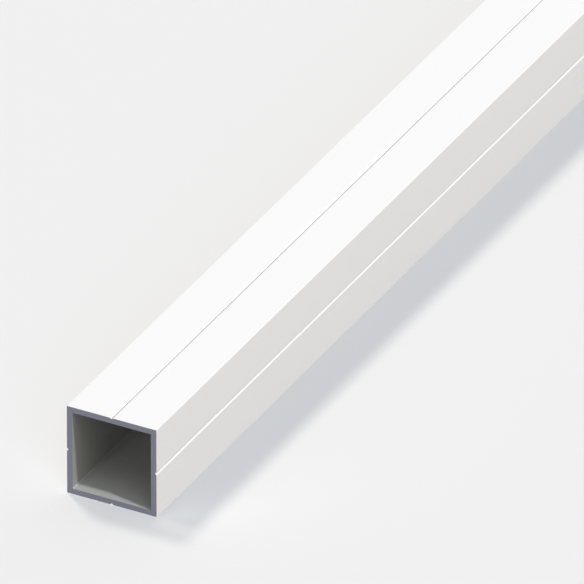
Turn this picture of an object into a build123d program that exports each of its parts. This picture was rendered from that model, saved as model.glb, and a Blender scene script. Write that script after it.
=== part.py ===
"""Square aluminium tube, extruded, with a marking groove along the middle of each outside face.

The section is drawn in the XZ plane and runs along Y. The tube lies on its lower face, so the
origin is the middle of the rectangle that it covers on the floor, and Z points up.
"""

import os

from build123d import *

# Section, in millimetres
WIDTH = 23.5  # across two opposite outside faces
WALL = 1.5
OUTER_CORNER_RADIUS = 0.2
INNER_CORNER_RADIUS = 0.2

# Marking groove, a V down the middle of each outside face that centres a drill or a scriber
GROOVE_WIDTH = 0.8
GROOVE_DEPTH = 0.4

# Length that the stock is sold in
LENGTH = 1000.0

BORE = WIDTH - 2 * WALL


def groove_profile():
    """Closed V in a frame whose X points out of the face, with its lips at X = 0."""
    overrun = GROOVE_DEPTH  # how far the cutter stands clear of the face
    half_width_outside = GROOVE_WIDTH / 2 * (GROOVE_DEPTH + overrun) / GROOVE_DEPTH
    with BuildSketch(mode=Mode.PRIVATE) as profile:
        with BuildLine():
            Polyline(
                (-GROOVE_DEPTH, 0),
                (overrun, half_width_outside),
                (overrun, -half_width_outside),
                close=True,
            )
        make_face()
    return profile.sketch


def bore_profile():
    """The square hole, whose corners are as sharp as the die's mandrel can make them."""
    with BuildSketch(mode=Mode.PRIVATE) as profile:
        Rectangle(BORE, BORE)
        fillet(profile.vertices(), radius=INNER_CORNER_RADIUS)
    return profile.sketch


def build_tube():
    near_end = Plane(origin=(0, -LENGTH / 2, WIDTH / 2), x_dir=(1, 0, 0), z_dir=(0, 1, 0))
    with BuildPart() as tube:
        with BuildSketch(near_end) as ring:
            Rectangle(WIDTH, WIDTH)
            fillet(ring.vertices(), radius=OUTER_CORNER_RADIUS)
            with PolarLocations(radius=WIDTH / 2, count=4):
                add(groove_profile(), mode=Mode.SUBTRACT)
            add(bore_profile(), mode=Mode.SUBTRACT)
        extrude(amount=LENGTH)
    tube.part.label = "square_tube"
    return tube.part


os.makedirs("parts", exist_ok=True)
square_tube = build_tube()
export_step(square_tube, "parts/square_tube.step")
print("volume, mm3:", round(square_tube.volume, 1))
print("box, mm:", square_tube.bounding_box())
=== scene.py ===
# %% [markdown]
# # A length of square tube
#
# The real thing is pushed through a die, so every slice across it is the same. It is then coated
# white on the outside and sawn to length, which leaves bare metal on the two ends and down the
# bore.
#
# The lesson draws one slice, fills it, and pushes it along the length, just as the press does.
# Three finishes follow: the coat, the sawn metal and the bore. Last come the floor, the lights and
# the camera.

# %% The frame that the part was packed in
import math

import bpy
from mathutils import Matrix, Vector
from mathutils.bvhtree import BVHTree


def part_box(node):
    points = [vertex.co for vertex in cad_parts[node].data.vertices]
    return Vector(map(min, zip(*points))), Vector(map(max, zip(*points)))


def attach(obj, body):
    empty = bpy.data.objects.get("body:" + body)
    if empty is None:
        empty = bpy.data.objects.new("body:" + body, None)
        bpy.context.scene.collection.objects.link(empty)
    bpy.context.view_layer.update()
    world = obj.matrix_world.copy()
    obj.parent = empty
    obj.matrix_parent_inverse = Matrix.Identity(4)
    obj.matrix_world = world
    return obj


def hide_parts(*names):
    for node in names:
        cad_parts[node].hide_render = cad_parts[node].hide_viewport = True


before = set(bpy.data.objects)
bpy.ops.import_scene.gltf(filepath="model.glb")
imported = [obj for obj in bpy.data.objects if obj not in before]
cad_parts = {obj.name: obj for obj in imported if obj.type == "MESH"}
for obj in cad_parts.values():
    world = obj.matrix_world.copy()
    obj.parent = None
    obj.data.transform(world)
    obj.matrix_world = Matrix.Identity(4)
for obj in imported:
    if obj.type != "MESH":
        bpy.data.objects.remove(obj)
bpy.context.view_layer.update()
low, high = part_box("square_tube")

# %% [markdown]
# ## Node trees that read like sums
#
# Blender's node trees can be drawn by a script, but a sum of four terms is then a dozen lines of
# adding nodes and joining sockets. A small class can stand for a node's output and give Python's
# operators a meaning: adding two outputs adds a Math node. The same two classes serve the geometry
# and the materials, because both kinds of tree hold the same Math node.


# %% A node's output, and the sheet that nodes are drawn on
class Output:
    """One output of a node. Python's operators on it add Math nodes, so 1 - mask is a Subtract."""

    def __init__(self, sheet, socket):
        self.sheet = sheet
        self.socket = socket

    def math(self, operation, *others):
        return self.sheet.math(operation, self, *others)

    def __add__(self, other):
        return self.math("ADD", other)

    def __sub__(self, other):
        return self.math("SUBTRACT", other)

    def __rsub__(self, other):
        return self.sheet.math("SUBTRACT", other, self)

    def __mul__(self, other):
        return self.math("MULTIPLY", other)

    def __truediv__(self, other):
        return self.math("DIVIDE", other)

    def __mod__(self, other):
        return self.math("FLOORED_MODULO", other)

    __radd__ = __add__
    __rmul__ = __mul__


class Sheet:
    """A node tree being drawn."""

    def __init__(self, tree):
        self.tree = tree
        tree.nodes.clear()

    def node(self, kind, settings=None, sockets=None):
        """Adds any node: its settings first, then a value or a link for each socket named."""
        made = self.tree.nodes.new(kind)
        for name, value in (settings or {}).items():
            setattr(made, name, value)
        for name, value in (sockets or {}).items():
            for one in value if isinstance(value, list) else [value]:
                if isinstance(one, Output):
                    self.tree.links.new(one.socket, made.inputs[name])
                else:
                    made.inputs[name].default_value = one
        return {out.name: Output(self, out) for out in made.outputs if out.enabled}

    def math(self, operation, *values):
        sockets = dict(enumerate(values))
        return self.node("ShaderNodeMath", {"operation": operation}, sockets)["Value"]


# %% [markdown]
# ## Sizes
#
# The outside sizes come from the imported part, so this tube can't drift away from it. The wall, the
# groove and the corner radii are the same driving sizes that the part's source has. The coat adds
# nothing outside: its outer skin is the outside of the tube, and the metal starts below it.

# %% Sizes of the tube, in metres
WIDTH = high.x - low.x
LENGTH = high.y - low.y
WALL = 0.0015
CORNER_RADIUS = 0.0002
BORE_RADIUS = 0.0002
GROOVE_WIDTH = 0.0008
GROOVE_DEPTH = 0.0004
COAT = 0.00006  # thickness of the white coat, seen edge on round the sawn ends
LIP_RADIUS = 0.00003  # the coat rounds the groove's lips and its bottom
print("tube, mm:", round(WIDTH * 1000, 3), "square and", round(LENGTH * 1000, 1), "long")

# %% [markdown]
# ## One slice across the tube
#
# The outer outline is a square with a V in the middle of each side. It could be typed in as
# sixteen points, but every point then has to be found again when a size changes. Instead a circle
# of sixteen points is made, and each point works out its own place from its number: four points to
# a side, which are the corner, the first lip of the groove, its bottom and its second lip. Set
# Position puts them there, and Fillet Curve rounds them, with a larger radius at the corners than
# at the groove.

# %% The outline with its four grooves
POINTS_PER_SIDE = 4
BOTTOM_POINT = 2.0  # the number of the groove's bottom among them, counted from 0
SIDES = 4
QUARTER_TURN = math.pi / 2
FILLET_POINTS = 6  # on each rounded corner


def rounded(sheet, curve, radius):
    return sheet.node(
        "GeometryNodeFilletCurve",
        {"mode": "POLY"},
        {"Curve": curve, "Radius": radius, "Count": FILLET_POINTS, "Limit Radius": True},
    )["Curve"]


def grooved_outline(sheet, half_width, half_groove, groove_depth, corner_radius, lip_radius):
    """A closed curve in the XY plane, counter-clockwise, from sizes that may be sockets."""
    index = sheet.node("GeometryNodeInputIndex")["Index"]
    step = index % float(POINTS_PER_SIDE)  # 0 corner, 1 lip, 2 bottom, 3 lip
    side = (index - step) / float(POINTS_PER_SIDE)
    corner = 1.0 - step.math("MINIMUM", 1.0)
    from_bottom = step - BOTTOM_POINT
    bottom = (1.0 - from_bottom.math("ABSOLUTE")).math("MAXIMUM", 0.0)

    along = from_bottom * half_groove * (1.0 - corner) - corner * half_width
    out = half_width - bottom * groove_depth
    angle = side * QUARTER_TURN
    cosine, sine = angle.math("COSINE"), angle.math("SINE")
    place = sheet.node(
        "ShaderNodeCombineXYZ",
        sockets={"X": out * cosine - along * sine, "Y": out * sine + along * cosine},
    )["Vector"]

    ring = sheet.node(
        "GeometryNodeCurvePrimitiveCircle", sockets={"Resolution": POINTS_PER_SIDE * SIDES}
    )["Curve"]
    outline = sheet.node("GeometryNodeSetPosition", sockets={"Geometry": ring, "Position": place})
    radius = corner * corner_radius + (1.0 - corner) * lip_radius
    return rounded(sheet, outline["Geometry"], radius)


# %% The plain square outline of the bore
def square_outline(sheet, width, corner_radius):
    square = sheet.node(
        "GeometryNodeCurvePrimitiveQuadrilateral", sockets={"Width": width, "Height": width}
    )["Curve"]
    return rounded(sheet, square, corner_radius)


# %% [markdown]
# ## From the slice to the tube
#
# Fill Curve fills between an outline and the outline inside it, so two fills make the sawn end: a
# thin ring of coat, and the metal inside that. Each ring takes its material before it is pushed
# out, because the sides that Extrude Mesh raises copy the material of the face beside them. The
# outside is then white of its own accord, and only the walls of the bore have to be told apart, by
# how near they are to the middle.
#
# Extrude Mesh leaves the near end open, so the first slice is turned over and joined back on, and
# Merge by Distance welds the seams. The curve could instead be swept with Curve to Mesh, but that
# can't cap an end that has a hole in it.

# %% The tree that makes the tube
WELD_DISTANCE = 0.000001


def tube_tree():
    tree = bpy.data.node_groups.new("Extruded square tube", "GeometryNodeTree")
    sizes = {
        "Width": WIDTH,
        "Length": LENGTH,
        "Wall": WALL,
        "Corner Radius": CORNER_RADIUS,
        "Bore Radius": BORE_RADIUS,
        "Groove Width": GROOVE_WIDTH,
        "Groove Depth": GROOVE_DEPTH,
        "Coat": COAT,
        "Lip Radius": LIP_RADIUS,
    }
    for name in sizes:
        tree.interface.new_socket(name, in_out="INPUT", socket_type="NodeSocketFloat")
    for name in ("White Coat", "Sawn End", "Bore"):
        tree.interface.new_socket(name, in_out="INPUT", socket_type="NodeSocketMaterial")
    tree.interface.new_socket("Tube", in_out="OUTPUT", socket_type="NodeSocketGeometry")

    sheet = Sheet(tree)
    given = sheet.node("NodeGroupInput")
    half = given["Width"] / 2.0
    coat = given["Coat"]
    shrink = coat * (math.sqrt(2.0) - 1.0)  # how a right-angled V grows when its walls step back

    skin = grooved_outline(
        sheet,
        half,
        given["Groove Width"] / 2.0,
        given["Groove Depth"],
        given["Corner Radius"],
        given["Lip Radius"],
    )
    metal = grooved_outline(
        sheet,
        half - coat,
        given["Groove Width"] / 2.0 + shrink,
        given["Groove Depth"] + shrink,
        given["Corner Radius"] - coat,
        given["Lip Radius"],
    )
    bore = square_outline(sheet, given["Width"] - given["Wall"] * 2.0, given["Bore Radius"])

    def ring(outer, inner, material):
        both = sheet.node("GeometryNodeJoinGeometry", sockets={"Geometry": [outer, inner]})
        filled = sheet.node(
            "GeometryNodeFillCurve", {"mode": "NGONS"}, {"Curve": both["Geometry"]}
        )
        return sheet.node(
            "GeometryNodeSetMaterial", sockets={"Geometry": filled["Mesh"], "Material": material}
        )["Geometry"]

    def weld(*parts):
        joined = sheet.node("GeometryNodeJoinGeometry", sockets={"Geometry": list(parts)})
        return sheet.node(
            "GeometryNodeMergeByDistance",
            sockets={"Geometry": joined["Geometry"], "Distance": WELD_DISTANCE},
        )["Geometry"]

    coat_ring = ring(skin, metal, given["White Coat"])
    metal_ring = ring(metal, bore, given["Sawn End"])
    slice_ = weld(coat_ring, metal_ring)

    pushed = sheet.node(
        "GeometryNodeExtrudeMesh",
        {"mode": "FACES"},
        {
            "Mesh": slice_,
            "Offset": (0.0, 0.0, 1.0),
            "Offset Scale": given["Length"],
            "Individual": False,
        },
    )
    near_end = sheet.node("GeometryNodeFlipFaces", sockets={"Mesh": slice_})["Mesh"]
    tube = weld(pushed["Mesh"], near_end)

    middle = sheet.node(
        "ShaderNodeCombineXYZ", sockets={"Y": given["Length"] / -2.0, "Z": half}
    )["Vector"]
    laid = sheet.node(
        "GeometryNodeTransform",
        sockets={"Geometry": tube, "Translation": middle, "Rotation": (-QUARTER_TURN, 0.0, 0.0)},
    )["Geometry"]
    real = sheet.node("GeometryNodeRealizeInstances", sockets={"Geometry": laid})["Geometry"]

    position = sheet.node("GeometryNodeInputPosition")["Position"]
    axes = sheet.node("ShaderNodeSeparateXYZ", sockets={"Vector": position})
    across, up = axes["X"], axes["Z"] - half
    from_middle = across.math("ABSOLUTE").math("MAXIMUM", up.math("ABSOLUTE"))
    inside = from_middle.math("LESS_THAN", half - given["Wall"] / 2.0)
    finished = sheet.node(
        "GeometryNodeSetMaterial",
        sockets={
            "Geometry": real,
            "Selection": inside * pushed["Side"],
            "Material": given["Bore"],
        },
    )["Geometry"]
    sheet.node("NodeGroupOutput", sockets={"Tube": finished})
    return tree, sizes


# %% [markdown]
# ## The white coat
#
# Powder is sprayed on and baked, so it lies in very low waves, about a millimetre apart, which
# break up the reflections a little. The colour is a plain warm white. A fine grey line of painted
# shade is drawn along the bottom of the groove on top, where shade falls. The other grooves get
# none.
#
# The painted shade could be a strip of its own, but a mask needs no mesh. The larger of the two
# distances from the axis says how deep a point lies below its face, whichever face that is, and its
# height says whether that face is the top one.

# %% Tools that the finishes share
AXIS_HEIGHT = (low.z + high.z) / 2
ROUGHNESS_SPREAD = 0.1  # how much rougher a finish is where its noise is highest


def new_sheet(name):
    material = bpy.data.materials.new(name)
    material.use_nodes = True
    return material, Sheet(material.node_tree)


def smooth_step(sheet, value, start, end):
    """0 below start and 1 above end, with a soft change between."""
    return sheet.node(
        "ShaderNodeMapRange",
        {"interpolation_type": "SMOOTHSTEP"},
        {"Value": value, "From Min": start, "From Max": end},
    )["Result"]


def around_axis(sheet, stretch=(1.0, 1.0, 1.0)):
    """Object coordinates measured from the tube's own axis, each stretched by its factor."""
    coordinates = sheet.node("ShaderNodeTexCoord")["Object"]
    return sheet.node(
        "ShaderNodeMapping",
        {"vector_type": "POINT"},
        {
            "Vector": coordinates,
            "Location": (0.0, 0.0, -AXIS_HEIGHT * stretch[2]),
            "Scale": stretch,
        },
    )["Vector"]


def noise(sheet, vector, scale, detail=2.0):
    return sheet.node(
        "ShaderNodeTexNoise", sockets={"Vector": vector, "Scale": scale, "Detail": detail}
    )["Fac"]


def blend(sheet, share, first, second):
    """The first colour where share is 0 and the second where it is 1."""
    return sheet.node(
        "ShaderNodeMix",
        {"data_type": "RGBA"},
        {"Factor": share, "A": first, "B": second},
    )["Result"]


# %% The coat
COAT_WHITE = (0.865, 0.860, 0.842, 1.0)
COAT_WHITE_SHADE = (0.850, 0.845, 0.825, 1.0)
COAT_ROUGHNESS = 0.36
COAT_DRIFT = 35.0  # noise cells in each metre
# painted shade: a dark line in the bottom of the top groove, and how far down it starts and is full
GROOVE_PAINTED_SHADE = (0.12, 0.12, 0.115, 1.0)
PAINTED_SHADE_BEGINS = 0.76  # how far down the groove, as a share of its depth
PAINTED_SHADE_FULL = 0.88
PEEL_WAVE = 0.0012  # distance between the crests of the coat's waves
PEEL_HEIGHT = 0.000004


def white_coat():
    material, sheet = new_sheet("satin_coat")
    vector = around_axis(sheet)
    axes = sheet.node("ShaderNodeSeparateXYZ", sockets={"Vector": vector})
    across = axes["X"].math("ABSOLUTE")
    up = axes["Z"].math("ABSOLUTE")
    depth = WIDTH / 2 - across.math("MAXIMUM", up)

    drift = noise(sheet, vector, COAT_DRIFT)
    colour = blend(sheet, drift, COAT_WHITE, COAT_WHITE_SHADE)
    # Painted shade: a fine dark line along the bottom of the groove on top, where shade falls.
    on_top = axes["Z"].math("GREATER_THAN", WIDTH / 4)
    bottom = smooth_step(sheet, depth, GROOVE_DEPTH * PAINTED_SHADE_BEGINS, GROOVE_DEPTH * PAINTED_SHADE_FULL)
    colour = blend(sheet, on_top * bottom, colour, GROOVE_PAINTED_SHADE)

    peel = noise(sheet, vector, 1 / PEEL_WAVE, detail=1.0)
    bump = sheet.node(
        "ShaderNodeBump", sockets={"Height": peel, "Distance": PEEL_HEIGHT, "Strength": 1.0}
    )["Normal"]
    shader = sheet.node(
        "ShaderNodeBsdfPrincipled",
        sockets={
            "Base Color": colour,
            "Roughness": COAT_ROUGHNESS + drift * ROUGHNESS_SPREAD,
            "Metallic": 0.0,
            "Normal": bump,
        },
    )["BSDF"]
    sheet.node("ShaderNodeOutputMaterial", sockets={"Surface": shader})
    return material


# %% [markdown]
# ## The sawn ends
#
# A circular saw leaves fine lines across the end, all parts of large circles round the blade's
# middle. Rings of a Wave Texture would be evenly spaced. One-dimensional noise that reads the
# distance from the blade's middle gives lines of uneven width instead, as teeth do.

# %% The sawn metal
SAW_CENTRE = (-0.10, -0.115)  # the blade's middle, across and up from the tube's axis
SAW_LINES = 2600.0  # noise cells in each metre
SAW_LINE_HEIGHT = 0.00001
SAWN_METAL = (0.199, 0.204, 0.245, 1.0)
SAWN_METAL_SHADE = (0.173, 0.178, 0.215, 1.0)
SAWN_ROUGHNESS = 0.5


def sawn_end():
    material, sheet = new_sheet("sawn_aluminium")
    axes = sheet.node("ShaderNodeSeparateXYZ", sockets={"Vector": around_axis(sheet)})
    across = axes["X"] - SAW_CENTRE[0]
    up = axes["Z"] - SAW_CENTRE[1]
    radius = (across * across + up * up).math("SQRT")
    lines = sheet.node(
        "ShaderNodeTexNoise",
        {"noise_dimensions": "1D"},
        {"W": radius, "Scale": SAW_LINES, "Detail": 3.0, "Roughness": 0.6},
    )["Fac"]
    bump = sheet.node(
        "ShaderNodeBump", sockets={"Height": lines, "Distance": SAW_LINE_HEIGHT, "Strength": 0.5}
    )["Normal"]
    shader = sheet.node(
        "ShaderNodeBsdfPrincipled",
        sockets={
            "Base Color": blend(sheet, lines, SAWN_METAL, SAWN_METAL_SHADE),
            "Roughness": SAWN_ROUGHNESS + lines * ROUGHNESS_SPREAD,
            "Metallic": 0.3,
            "Normal": bump,
        },
    )["BSDF"]
    sheet.node("ShaderNodeOutputMaterial", sockets={"Surface": shader})
    return material


# %% [markdown]
# ## The bore
#
# The die drags along the inside, so the bare metal there has faint lines that run the whole
# length. Noise whose coordinates are stretched along the tube makes them: fine across, and very
# long along.
#
# A thin painted highlight runs along each corner of the bore, a lighter line where two walls meet.
# Only there are both distances from the axis large, so the smaller of the two is its mask.

# %% The bare metal of the bore
BORE_METAL = (0.460, 0.465, 0.445, 1.0)
BORE_METAL_SHADE = (0.392, 0.397, 0.377, 1.0)
# painted highlight: a lighter line along each corner of the bore
BORE_PAINTED_HIGHLIGHT = (0.500, 0.505, 0.483, 1.0)
BORE_ROUGHNESS = 0.55
BORE_PATCHES = 120.0  # noise cells in each metre
DIE_STRETCH = (2200.0, 12.0, 2200.0)  # the same for the die lines, across, along and up
DIE_LINE_HEIGHT = 0.000004
PAINTED_HIGHLIGHT_REACH = 1.5  # the painted highlight on a wall begins this many corner radii from the next wall


def bore_metal():
    material, sheet = new_sheet("bare_bore")
    vector = around_axis(sheet)
    streaks = noise(sheet, around_axis(sheet, DIE_STRETCH), 1.0)
    patches = noise(sheet, vector, BORE_PATCHES)
    colour = blend(sheet, (streaks + patches) * 0.5, BORE_METAL, BORE_METAL_SHADE)

    axes = sheet.node("ShaderNodeSeparateXYZ", sockets={"Vector": vector})
    nearer = axes["X"].math("ABSOLUTE").math("MINIMUM", axes["Z"].math("ABSOLUTE"))
    wall = WIDTH / 2 - WALL
    begins = wall - BORE_RADIUS * PAINTED_HIGHLIGHT_REACH
    corner = smooth_step(sheet, nearer, begins, wall - BORE_RADIUS)
    # Painted highlight: a lighter line along each corner of the bore, where the walls meet.
    colour = blend(sheet, corner, colour, BORE_PAINTED_HIGHLIGHT)

    bump = sheet.node(
        "ShaderNodeBump", sockets={"Height": streaks, "Distance": DIE_LINE_HEIGHT, "Strength": 0.5}
    )["Normal"]
    shader = sheet.node(
        "ShaderNodeBsdfPrincipled",
        sockets={
            "Base Color": colour,
            "Roughness": BORE_ROUGHNESS + streaks * ROUGHNESS_SPREAD,
            "Metallic": 0.2,
            "Normal": bump,
        },
    )["BSDF"]
    sheet.node("ShaderNodeOutputMaterial", sockets={"Surface": shader})
    return material


# %% [markdown]
# ## Making the tube
#
# The tree is put on an empty mesh as a modifier, its named inputs are set, and the result is
# copied into a plain mesh. The modifier's job is then done, and it goes.


# %% The tube's mesh
def made_by(tree, name, values):
    """A plain mesh object from a Geometry Nodes tree, whose inputs are looked up in values by name."""
    seed = bpy.data.objects.new(name + "_seed", bpy.data.meshes.new(name + "_seed"))
    bpy.context.scene.collection.objects.link(seed)
    modifier = seed.modifiers.new("Nodes", "NODES")
    modifier.node_group = tree
    for item in tree.interface.items_tree:
        if item.in_out == "INPUT":
            modifier[item.identifier] = values[item.name]
    graph = bpy.context.evaluated_depsgraph_get()
    mesh = bpy.data.meshes.new_from_object(seed.evaluated_get(graph))
    mesh.name = name
    bpy.data.objects.remove(seed)
    piece = bpy.data.objects.new(name, mesh)
    bpy.context.scene.collection.objects.link(piece)
    return piece


tree, tube_values = tube_tree()
tube_values["White Coat"] = white_coat()
tube_values["Sawn End"] = sawn_end()
tube_values["Bore"] = bore_metal()
tube = made_by(tree, "coated_tube", tube_values)
print("tube faces:", len(tube.data.polygons), "materials:", [m.name for m in tube.data.materials])

# %% [markdown]
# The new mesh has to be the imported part's shape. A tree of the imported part's faces tells how far
# each new vertex lies from them, which should be no more than the rounding of an edge.

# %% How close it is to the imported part
cad_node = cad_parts["square_tube"]
cad_faces = BVHTree.FromObject(cad_node, bpy.context.evaluated_depsgraph_get())
gaps = [cad_faces.find_nearest(vertex.co)[3] for vertex in tube.data.vertices]
print("furthest vertex from the packed part, mm:", round(max(gaps) * 1000, 4))

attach(tube, "root")
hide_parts("square_tube")

# %% [markdown]
# ## The floor
#
# The tube lies on a wide pale sheet. It reaches far past the picture, because a camera that looks
# from low down sees a long way.
#
# A white sheet throws light back up, which whitens the lower half of a side and fades out above
# it. In the photograph the right face has one even tone from top to bottom, so this sheet takes
# the tube's shadow and gives nothing back. Nor does it hold back light from below: it works like a
# glass table. In Cycles both are switches on the sheet itself, its visibility to diffuse rays and
# to shadow rays.

# %% The floor
FLOOR_HALF = 60.0  # from the middle to each side
FLOOR_COLOUR = (0.775, 0.775, 0.775, 1.0)


def studio_floor():
    mesh = bpy.data.meshes.new("floor")
    corners = [(-1, -1), (1, -1), (1, 1), (-1, 1)]
    places = [(x * FLOOR_HALF, y * FLOOR_HALF, 0.0) for x, y in corners]
    mesh.from_pydata(places, [], [(0, 1, 2, 3)])
    floor = bpy.data.objects.new("floor", mesh)
    bpy.context.scene.collection.objects.link(floor)
    material, sheet = new_sheet("floor_paper")
    shader = sheet.node(
        "ShaderNodeBsdfPrincipled",
        sockets={"Base Color": FLOOR_COLOUR, "Roughness": 1.0, "Specular IOR Level": 0.0},
    )["BSDF"]
    sheet.node("ShaderNodeOutputMaterial", sockets={"Surface": shader})
    mesh.materials.append(material)
    floor.visible_diffuse = False
    floor.visible_shadow = False
    return floor


floor = studio_floor()

# %% [markdown]
# ## Light
#
# The tube and the floor have lamps of their own, through Light Linking. A product photographer
# gets the same with flags and cards: the key light that draws the tube's edges is kept off the
# floor, so that the only shadow there is the soft one at the right.
#
# The key is small, steep and from the right. It whitens the top, lights the wall of the right
# groove that looks up, and cuts a sharp wedge just inside the mouth. A broad lamp on the front
# right fills the bore's left wall, more at the foot of it than under the roof. One straight in
# front and nearly level reaches down the bore. A broad, faint and warm one is for the right face,
# and a faint one from straight above reaches the top alone.
#
# The last three hardly show in this picture. Two light what looks down. One of them comes from
# straight below, where it reaches the rounded edge that stands on the floor but not the walls of
# the grooves, so that no dark line runs along that edge. The third lights the back and the left,
# for whoever walks round the tube.
#
# The floor has a broad lamp in front on either side, like two softboxes, which leave hardly any
# shadow. Two small ones throw it. One stands behind on the left, so that the shadow comes out in
# front of the mouth as well. The other stands straight to the left, and makes up for the light
# that the white right face throws on the floor beside it.
#
# A sun lamp's strength is divided by pi when it lands on a white surface, so each lamp is given as
# the red, green and blue that it would give to white.

# %% Lamps
# name: where the light comes from, what it gives to white, and its width in degrees
TUBE_LAMPS = {
    "key": ((0.60, -0.117, 1.0), (0.596, 0.599, 0.626), 3.0),
    "front_right": ((0.433, -0.25, 0.866), (0.221, 0.241, 0.25), 40.0),
    "down_the_bore": ((0.0, -0.985, 0.174), (0.382, 0.384, 0.412), 20.0),
    "right": ((0.853, -0.15, 0.5), (0.049, 0.024, 0.0), 60.0),
    "above": ((0.0, 0.0, 1.0), (0.037, 0.036, 0.038), 2.0),
    "from_below": ((0.5, 0.0, -0.87), (0.16, 0.16, 0.16), 60.0),
    "under": ((0.0, 0.0, -1.0), (0.65, 0.65, 0.65), 2.0),
    "back_left": ((-0.85, 0.5, -0.2), (0.32, 0.32, 0.32), 20.0),
}
FLOOR_LAMPS = {
    "floor_left": ((-0.28, -0.85, 0.6), (0.470, 0.476, 0.472), 60.0),
    "floor_right": ((0.40, -0.76, 0.52), (0.381, 0.426, 0.494), 60.0),
    "floor_shadow": ((-0.49, 0.336, 1.0), (0.274, 0.253, 0.23), 10.0),
    "floor_side": ((-0.46, 0.0, 1.0), (0.144, 0.134, 0.122), 10.0),
}


def sun(piece, name, towards, light, angle):
    """A sun that lights one piece. light is what it would give to a white surface that faces it."""
    data = bpy.data.lights.new(name, "SUN")
    data.energy = max(light) * math.pi
    data.color = [channel / max(light) for channel in light]
    data.angle = math.radians(angle)
    lamp = bpy.data.objects.new(name, data)
    lamp.rotation_mode = "QUATERNION"
    lamp.rotation_quaternion = Vector(towards).to_track_quat("Z", "Y")
    bpy.context.scene.collection.objects.link(lamp)
    receivers = bpy.data.collections.new(name + "_receivers")
    receivers.objects.link(piece)
    lamp.light_linking.receiver_collection = receivers


for name, lamp in TUBE_LAMPS.items():
    sun(tube, name, *lamp)
for name, lamp in FLOOR_LAMPS.items():
    sun(floor, name, *lamp)

# %% [markdown]
# The world gives both of them the same dim light from every side. The camera and the reflections
# see it brighter, at the floor's own tone, so that the floor has no horizon.

# %% World
WORLD_LIGHT = (0.30, 0.30, 0.30, 1.0)
WORLD_SEEN = (0.865, 0.865, 0.865, 1.0)


def studio_world():
    world = bpy.data.worlds.new("studio")
    bpy.context.scene.world = world
    world.use_nodes = True
    sheet = Sheet(world.node_tree)
    path = sheet.node("ShaderNodeLightPath")
    seen = path["Is Camera Ray"].math("MAXIMUM", path["Is Glossy Ray"])
    seen = seen.math("MAXIMUM", path["Is Transmission Ray"])
    colour = blend(sheet, seen, WORLD_LIGHT, WORLD_SEEN)
    shader = sheet.node("ShaderNodeBackground", sockets={"Color": colour, "Strength": 1.0})
    sheet.node("ShaderNodeOutputWorld", sockets={"Surface": shader["Background"]})


studio_world()
bpy.context.scene.view_settings.view_transform = "Standard"

# %% [markdown]
# ## Camera
#
# In the photograph the tube's long edges stay parallel, so it was taken from far away. An
# orthographic camera keeps them parallel too, but its frame is fixed in metres, so it would have
# to be set again for a look at the whole tube. A perspective camera six metres off, with a lens as
# long as a telescope's, comes within a pixel of the same picture.

# %% Camera
CAMERA_AZIMUTH = math.radians(27.87)
CAMERA_ELEVATION = math.radians(31.07)
LENS = 1600.0
SENSOR = 36.0
PICTURE_WIDTH = 0.13599  # how much of the scene the picture takes in at the aim point
AIM = Vector((0.00135, low.y + 0.0863, AXIS_HEIGHT))
SEES_UP_TO = 200.0  # metres


def make_camera():
    data = bpy.data.cameras.new("camera")
    data.lens = LENS
    data.sensor_width = SENSOR
    data.clip_end = SEES_UP_TO
    camera = bpy.data.objects.new("camera", data)
    back = Vector(
        (
            math.sin(CAMERA_AZIMUTH) * math.cos(CAMERA_ELEVATION),
            -math.cos(CAMERA_AZIMUTH) * math.cos(CAMERA_ELEVATION),
            math.sin(CAMERA_ELEVATION),
        )
    )
    camera.location = AIM + back * (PICTURE_WIDTH * LENS / SENSOR)
    camera.rotation_mode = "QUATERNION"
    camera.rotation_quaternion = (-back).to_track_quat("-Z", "Y")
    bpy.context.scene.collection.objects.link(camera)
    bpy.context.scene.camera = camera


make_camera()
